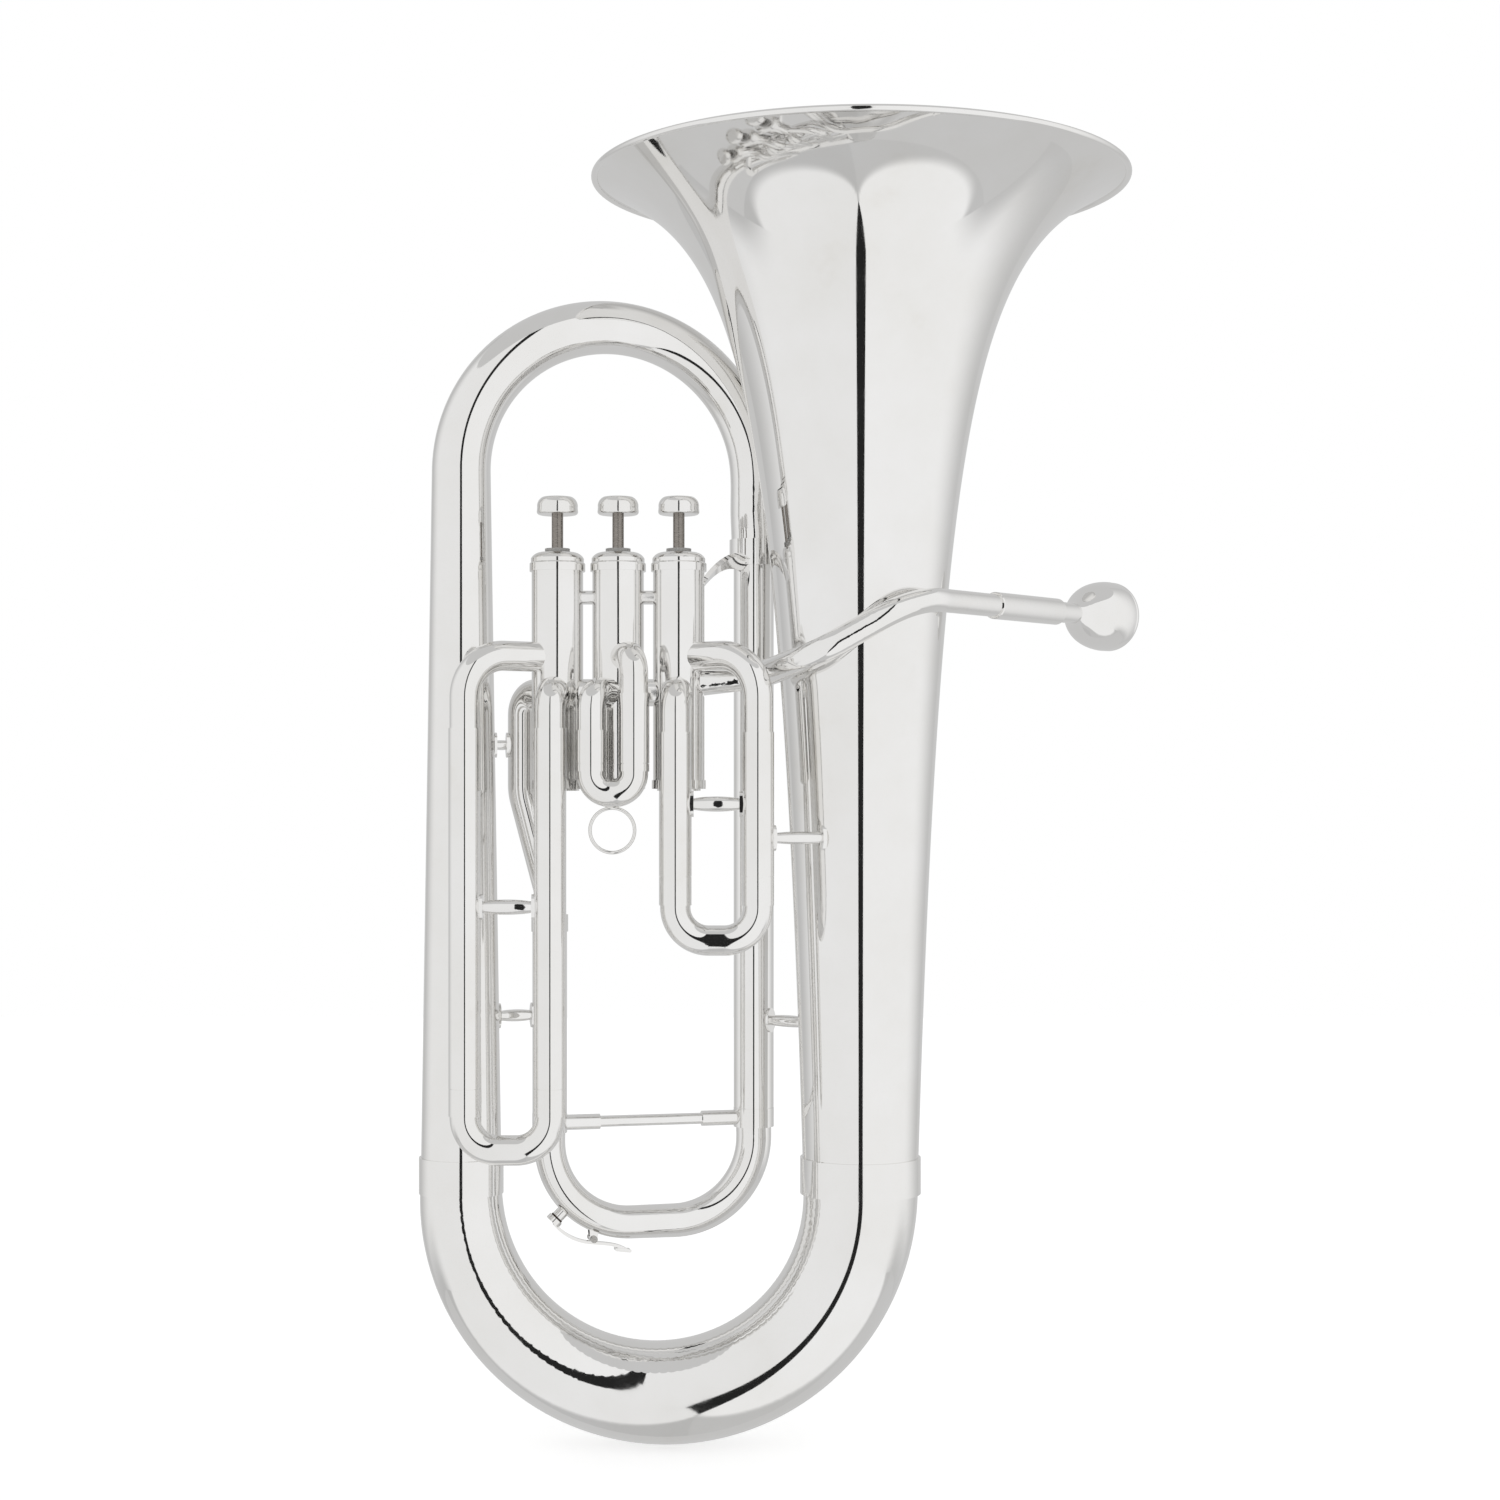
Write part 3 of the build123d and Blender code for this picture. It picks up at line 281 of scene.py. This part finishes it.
def revolved(name, outline, centre, segments):
    """A closed surface of revolution about a vertical axis."""
    points = []
    for radius, height in outline:
        for segment in range(segments):
            turn = 2 * math.pi * segment / segments
            x = centre[0] + radius * math.cos(turn)
            y = centre[1] + radius * math.sin(turn)
            points.append((x, y, height))
    faces = []
    for ring in range(len(outline)):
        above = (ring + 1) % len(outline)
        for segment in range(segments):
            beside = (segment + 1) % segments
            corners = [(ring, segment), (ring, beside), (above, beside), (above, segment)]
            faces.append([row * segments + place for row, place in corners])
    mesh = bpy.data.meshes.new(name)
    mesh.from_pydata(points, [], faces)
    mesh.shade_smooth()
    mesh.set_sharp_from_angle(angle=SHARP_ANGLE)
    made = bpy.data.objects.new(name, mesh)
    bpy.context.collection.objects.link(made)
    return made


heights = []
for ring in range(BELL_RINGS + 1):
    share = 1 - (1 - ring / BELL_RINGS) ** RING_CROWDING
    heights.append(bell_foot + (bell_rim - bell_foot) * share)
outline = [bell_point(height, 0) for height in heights]
outline += [bell_point(height, SHEET) for height in reversed(heights)]
smooth_bell = revolved("smooth_bell", outline, (bell_x, bell_y), BELL_SEGMENTS)
smooth_bell.data.materials.append(BELL_SILVER)
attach(smooth_bell, "horn_body")
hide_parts("bell")


# ---- Floor, backdrop and light ------------------------------------------------------

BRIGHTNESS = "brightness"


def panel(name, centre, width, height, turn=(math.pi / 2, 0, 0)):
    """A flat rectangle that faces along Y until it is turned."""
    mesh = bpy.data.meshes.new(name)
    corners = [(-width / 2, -height / 2, 0), (width / 2, -height / 2, 0)]
    corners += [(width / 2, height / 2, 0), (-width / 2, height / 2, 0)]
    mesh.from_pydata(corners, [], [(0, 1, 2, 3)])
    made = bpy.data.objects.new(name, mesh)
    made.location = centre
    made.rotation_euler = turn
    bpy.context.collection.objects.link(made)
    return made


def glowing(name, strength, fades=False):
    """A glow for the softboxes' faces, even or fading with the mesh's own brightness."""
    material = bpy.data.materials.new(name)
    material.use_nodes = True
    tree = material.node_tree
    tree.nodes.clear()
    glow = tree.nodes.new("ShaderNodeEmission")
    glow.inputs["Strength"].default_value = strength
    if fades:
        brightness = tree.nodes.new("ShaderNodeAttribute")
        brightness.attribute_name = BRIGHTNESS
        tree.links.new(brightness.outputs["Color"], glow.inputs["Color"])
    output = tree.nodes.new("ShaderNodeOutputMaterial")
    tree.links.new(glow.outputs["Emission"], output.inputs["Surface"])
    return material


def seen_only_in_gloss(piece):
    """Hide a reflector from the camera and from soft light."""
    piece.visible_camera = False
    piece.visible_diffuse = False
    piece.visible_shadow = False
    piece.visible_transmission = False


EYE = Vector((0.047, -1.329, 0.339))      # where the photographer stood
LENS = 60.5
SENSOR_WIDTH = 36.0
SHIFT_Y = 0.0333

FLOOR_SIZE = 9.0
FLOOR_DROP = 0.0006       # gap between the floor and the bottom bow
FLOOR_GLOW = 0.50
BACK_DISTANCE = 2.6
BACK_LOW = -0.5

paper = Surface("pale_paper", 0.0, 0.85)
paper_tone = paper.noise(3.0, 2.0)
paper.colour(paper.ramp(paper_tone, [(0.3, (0.90, 0.90, 0.90)), (0.7, (0.94, 0.94, 0.94))]))
paper.shader.inputs["Emission Color"].default_value = (1, 1, 1, 1)
paper.shader.inputs["Emission Strength"].default_value = FLOOR_GLOW

floor = panel("floor", (0, 0, -FLOOR_DROP), FLOOR_SIZE, FLOOR_SIZE, (0, 0, 0))
floor.data.materials.append(paper.material)
floor.visible_glossy = False
back = panel("backdrop", (0, BACK_DISTANCE, FLOOR_SIZE / 2 + BACK_LOW), FLOOR_SIZE, FLOOR_SIZE)
back.data.materials.append(glowing("backdrop_glow", 1.0))
back.visible_glossy = False
back.visible_diffuse = False

TENT_RADIUS = 1.6         # the softboxes curve round the object at this distance
TENT_LOW = -0.7
TENT_HIGH = 2.3
TENT_FACETS = 40
TENT_ROWS = 30
SLIT_ANGLE = 4.0          # half of the dark slit that the camera looks through, in degrees
CARD_ANGLE = 140.0        # how far round each softbox reaches, from the camera's side
FADE_START = 88.0         # where its light starts to fade into the grey of the room
LOW_FADE_START = 70.0     # below LOW_FADE_TOP it fades from here, over LOW_FADE_WIDE degrees
LOW_FADE_WIDE = 28.0
LOW_FADE_TOP = -0.05
ROOM_GREY = 0.62
LEFT_STRENGTH = 0.89
RIGHT_STRENGTH = 0.95
SLIT_STRENGTH = 0.02
left_glow = glowing("softbox_left_face", LEFT_STRENGTH, fades=True)
right_glow = glowing("softbox_right_face", RIGHT_STRENGTH, fades=True)
slit_dark = glowing("slit_dark", SLIT_STRENGTH)


def smooth(share):
    """A share from 0 to 1 with soft ends."""
    share = min(1.0, max(0.0, share))
    return share * share * (3 - 2 * share)


def reflector(name, points, faces, material, brightness=None):
    """A mesh that only reflections see, with a brightness for each of its points."""
    mesh = bpy.data.meshes.new(name)
    mesh.from_pydata(points, [], faces)
    mesh.materials.append(material)
    if brightness:
        layer = mesh.color_attributes.new(BRIGHTNESS, "FLOAT_COLOR", "POINT")
        for point, value in zip(layer.data, brightness):
            point.color = (value, value, value, 1.0)
    made = bpy.data.objects.new(name, mesh)
    bpy.context.collection.objects.link(made)
    seen_only_in_gloss(made)
    return made


def tent_point(angle, height):
    """Point on the tent's wall; the angle is from the camera's side, positive towards +X."""
    turn = math.radians(angle)
    return (EYE.x + TENT_RADIUS * math.sin(turn), -TENT_RADIUS * math.cos(turn), height)


def grid_faces(rows, columns):
    """Faces of a grid whose points are listed row by row."""
    wide = columns + 1
    starts = [row * wide + column for row in range(rows) for column in range(columns)]
    return [(start, start + 1, start + 1 + wide, start + wide) for start in starts]


def wall_brightness(angle, height):
    """Light of the tent's wall, which fades far round the side, and sooner near the floor."""
    behind = smooth((abs(angle) - FADE_START) / (CARD_ANGLE - FADE_START))
    side = smooth((abs(angle) - LOW_FADE_START) / LOW_FADE_WIDE)
    low = smooth((LOW_FADE_TOP - height) / (LOW_FADE_TOP - TENT_LOW))
    return 1 - (1 - ROOM_GREY) * max(behind, side * low)


def tent_wall(name, start, end, facets, material):
    """A strip of the tent's wall between two angles."""
    points, brightness = [], []
    for row in range(TENT_ROWS + 1):
        height = TENT_LOW + (TENT_HIGH - TENT_LOW) * row / TENT_ROWS
        for facet in range(facets + 1):
            angle = start + (end - start) * facet / facets
            points.append(tent_point(angle, height))
            brightness.append(wall_brightness(angle, height))
    return reflector(name, points, grid_faces(TENT_ROWS, facets), material, brightness)


tent_wall("softbox_left", -CARD_ANGLE, -SLIT_ANGLE, TENT_FACETS, left_glow)
tent_wall("softbox_right", SLIT_ANGLE, CARD_ANGLE, TENT_FACETS, right_glow)
tent_wall("slit", -SLIT_ANGLE, SLIT_ANGLE, 2, slit_dark)

# A white board lies low in front of the horn at each side of the slit. The two boards meet at the
# slit's tip, and behind it their edges curve away from each other in a V.
BOARD_Z = TENT_LOW
BOARD_BACK = 0.14         # how far the boards reach behind the bell's axis
CORNER_WIDE = 0.90        # half axes of the half ellipse that ends each board
CORNER_DEEP = 0.90
SLIT_TIP = BOARD_BACK - CORNER_DEEP
BOARD_EDGE = 0.22         # width of the soft edge, which gets sharp towards the slit's tip
EDGE_SHARP = 0.015
BOARD_CELL = 0.02
SLIT_HALF = TENT_RADIUS * math.tan(math.radians(SLIT_ANGLE))


def slit_half(y):
    """Half of the slit's width, which grows from its tip to the tent's wall."""
    return SLIT_HALF * max(0.0, (SLIT_TIP - y) / (SLIT_TIP + TENT_RADIUS))


def board_brightness(x, y):
    """Light of a board at a point, which fades at its curved edge."""
    if y < SLIT_TIP:
        return 1.0
    across = abs(x - EYE.x) - CORNER_WIDE
    reach = math.hypot(across / CORNER_WIDE, (y - SLIT_TIP) / CORNER_DEEP)
    edge = EDGE_SHARP + BOARD_EDGE * smooth((y - SLIT_TIP) / CORNER_WIDE)
    return ROOM_GREY + (1 - ROOM_GREY) * smooth(CORNER_WIDE * (1 - reach) / edge)


def floor_board(name, side, material):
    """A board on one side of the slit, as a grid of small cells."""
    columns = int(TENT_RADIUS / BOARD_CELL)
    rows = int((TENT_RADIUS + BOARD_BACK) / BOARD_CELL)
    points, brightness = [], []
    for row in range(rows + 1):
        y = BOARD_BACK - row * BOARD_CELL
        for column in range(columns + 1):
            x = EYE.x + side * (slit_half(y) + column * BOARD_CELL)
            points.append((x, y, BOARD_Z))
            brightness.append(board_brightness(x, y))
    return reflector(name, points, grid_faces(rows, columns), material, brightness)


floor_board("board_left", -1, left_glow)
floor_board("board_right", 1, right_glow)
slit_corners = [(EYE.x, SLIT_TIP, BOARD_Z)]
slit_corners += [(EYE.x + side * SLIT_HALF, -TENT_RADIUS, BOARD_Z) for side in (1, -1)]
reflector("floor_slit", slit_corners, [(0, 1, 2)], slit_dark)

world = bpy.data.worlds.new("studio")
bpy.context.scene.world = world
world.use_nodes = True
room = world.node_tree.nodes["Background"]
room.inputs["Color"].default_value = (ROOM_GREY, ROOM_GREY, ROOM_GREY, 1)
room.inputs["Strength"].default_value = 1.0

# ---- Camera -------------------------------------------------------------------------

camera = bpy.data.objects.new("camera", bpy.data.cameras.new("camera"))
camera.data.lens = LENS
camera.data.sensor_width = SENSOR_WIDTH
camera.data.shift_y = SHIFT_Y
camera.location = EYE
camera.rotation_euler = (math.pi / 2, 0, 0)
bpy.context.collection.objects.link(camera)
bpy.context.scene.camera = camera
bpy.context.scene.view_settings.view_transform = "Standard"
